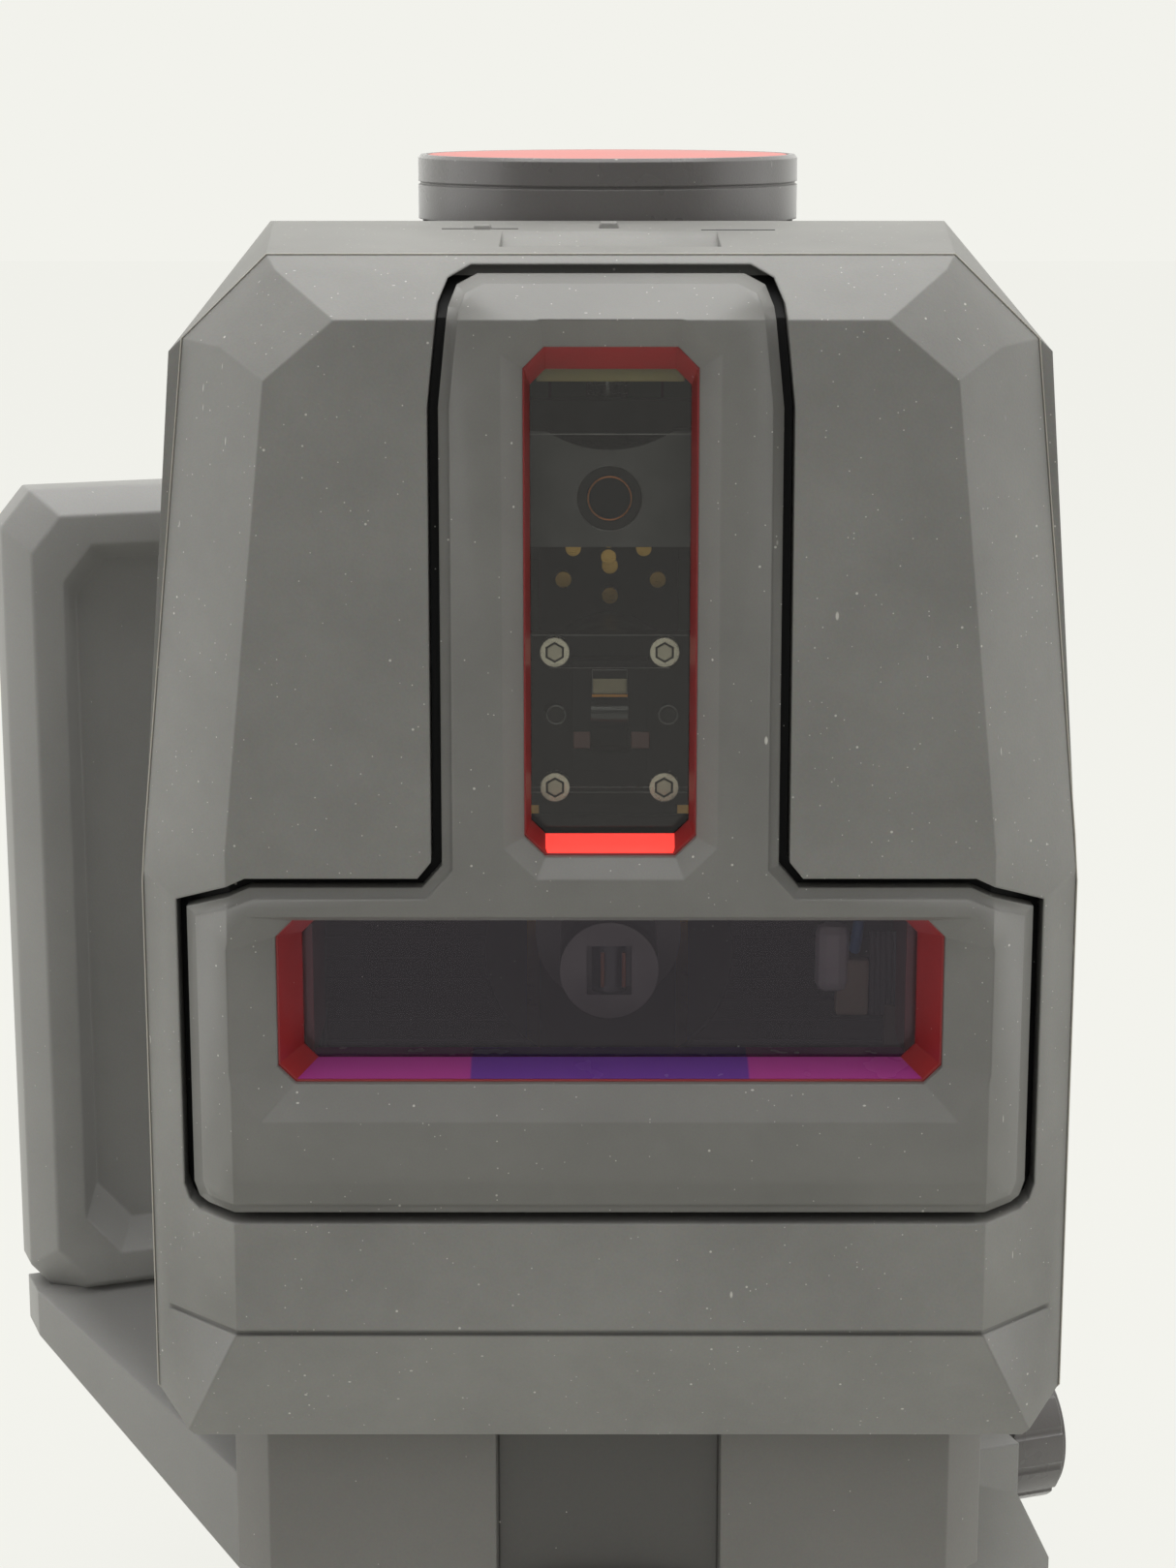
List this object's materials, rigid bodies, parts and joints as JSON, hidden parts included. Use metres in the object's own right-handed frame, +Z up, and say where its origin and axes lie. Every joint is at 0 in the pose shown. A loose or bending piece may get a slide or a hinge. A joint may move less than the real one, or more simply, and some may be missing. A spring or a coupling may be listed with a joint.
{
  "type": "laser level",
  "caption": "Two-window cross-line laser level with a self-levelling gimbal pendulum, a top lock knob and a swivelling wall bracket with geared fine adjustment.",
  "frame": {"origin": "mouth of the tripod thread under the base, on the swivel axis", "axes": "+Z up along the swivel axis; the front windows face -Y; +X is to the right as seen from the front"},
  "size_m": [0.176, 0.1761, 0.2446],
  "materials": {
    "moulded_tray": "satin fine grain",
    "moulded_base": "satin fine grain",
    "moulded_cover": "matt",
    "foot_rubber": "matt",
    "thread_brass": "machined",
    "magnet_nickel": "nickel plate",
    "bush_bronze": "sintered",
    "slip_polymer": "smooth",
    "screw_steel": "satin",
    "knob_rubber": "soft grip",
    "shaft_steel": "ground",
    "gear_brass": "cut",
    "overmould_grey": "fine pebble grain",
    "bezel_plastic": "fine grain",
    "seal_rubber": "matt",
    "hood_red": "satin",
    "window_glass": "coated",
    "coated_glass": "coated",
    "baffle_black": "matt",
    "index_grey": "satin",
    "lower_plastic": "fine grain",
    "turntable_aluminium": "turned",
    "chassis_aluminium": "black anodised",
    "bearing_copper": "turned",
    "board_green": "solder mask",
    "connector_nylon": "satin",
    "knob_grip": "ribbed grip",
    "cap_red": "satin",
    "gimbal_zinc": "cast",
    "module_black": "black anodised",
    "module_grey": "bead blasted",
    "lens_glass": "polished",
    "damper_copper": "turned",
    "button_rubber": "soft",
    "battery_plastic": "satin"
  },
  "bodies": {
    "bracket": {"wall_tray": "moulded_tray", "bracket_arm": "moulded_tray", "base_shell": "moulded_base", "base_cover": "moulded_cover", "foot_pad": "foot_rubber", "tripod_insert": "thread_brass", "quarter_inch_insert": "thread_brass", "wall_magnets": "magnet_nickel", "wall_pads": "foot_rubber", "swivel_bush": "bush_bronze", "thrust_washer": "slip_polymer", "shaft_bush": "bush_bronze", "base_screws": "screw_steel"},
    "fine_drive": {"fine_knob": "knob_rubber", "fine_shaft": "shaft_steel", "fine_pinion": "gear_brass"},
    "laser": {"front_shell": "overmould_grey", "window_bezel": "bezel_plastic", "bezel_gasket": "seal_rubber", "optics_hood": "hood_red", "vertical_glass": "window_glass", "horizontal_glass": "coated_glass", "light_baffle": "baffle_black", "rear_housing": "overmould_grey", "index_ring": "index_grey", "lower_housing": "lower_plastic", "turntable": "turntable_aluminium", "crown_gear": "gear_brass", "swivel_spindle": "shaft_steel", "spindle_clip": "screw_steel", "gimbal_chassis": "chassis_aluminium", "gimbal_bearings": "bearing_copper", "damper_magnets": "magnet_nickel", "circuit_board": "board_green", "flex_connector": "connector_nylon", "battery_contacts": "gear_brass", "housing_screws": "screw_steel"},
    "lock_knob": {"lock_knob_ring": "knob_grip", "lock_knob_cap": "cap_red", "lock_knob_shaft": "shaft_steel"},
    "lock_plunger": {"lock_pin": "shaft_steel"},
    "gimbal": {"gimbal_ring": "gimbal_zinc"},
    "pendulum": {"pendulum_frame": "gimbal_zinc", "vertical_module": "module_black", "horizontal_module": "module_grey", "vertical_fan_rod": "lens_glass", "horizontal_fan_rod": "lens_glass", "module_screws": "screw_steel", "damper_plate": "damper_copper", "balance_weight": "thread_brass"},
    "button_left": {"button_left": "button_rubber"},
    "button_middle": {"button_middle": "button_rubber"},
    "button_right": {"button_right": "button_rubber"},
    "battery": {"battery_pack": "battery_plastic", "battery_grip": "seal_rubber"}
  },
  "joints": [
    {"name": "swivel", "type": "hinge", "parent": "bracket", "child": "laser", "pos_m": [0, 0, 0.047], "axis": [0, 0, 1], "continuous": true},
    {"name": "fine_turn", "type": "hinge", "parent": "bracket", "child": "fine_drive", "pos_m": [0.04229, 0.01539, 0.04], "axis": [0.9397, 0.342, 0], "continuous": true},
    {"name": "lock_turn", "type": "hinge", "parent": "laser", "child": "lock_knob", "pos_m": [0, 0.018, 0.24], "axis": [0, 0, 1], "range_deg": [-90, 0]},
    {"name": "lock_lift", "type": "slide", "parent": "laser", "child": "lock_plunger", "axis": [0, 0, -1], "range_m": [0, 0.005]},
    {"name": "gimbal_roll", "type": "hinge", "parent": "laser", "child": "gimbal", "pos_m": [0, -0.006, 0.2004], "axis": [0, 1, 0], "range_deg": [-4, 4]},
    {"name": "gimbal_pitch", "type": "hinge", "parent": "gimbal", "child": "pendulum", "pos_m": [0, -0.006, 0.2004], "axis": [1, 0, 0], "range_deg": [-4, 4]},
    {"name": "battery_slide", "type": "slide", "parent": "laser", "child": "battery", "axis": [1, 0, 0], "range_m": [0, 0.09]},
    {"name": "press_left", "type": "slide", "parent": "laser", "child": "button_left", "axis": [0, -1, 0], "range_m": [0, 0.001], "stiffness_N_per_m": 900, "springref_m": -0.0005},
    {"name": "press_middle", "type": "slide", "parent": "laser", "child": "button_middle", "axis": [0, -1, 0], "range_m": [0, 0.001], "stiffness_N_per_m": 900, "springref_m": -0.0005},
    {"name": "press_right", "type": "slide", "parent": "laser", "child": "button_right", "axis": [0, -1, 0], "range_m": [0, 0.001], "stiffness_N_per_m": 900, "springref_m": -0.0005}
  ],
  "couplings": [
    {"joint": "fine_turn", "follows": "swivel", "ratio": -4.7143},
    {"joint": "lock_turn", "follows": "lock_lift", "rad_per_m": -314.16}
  ]
}
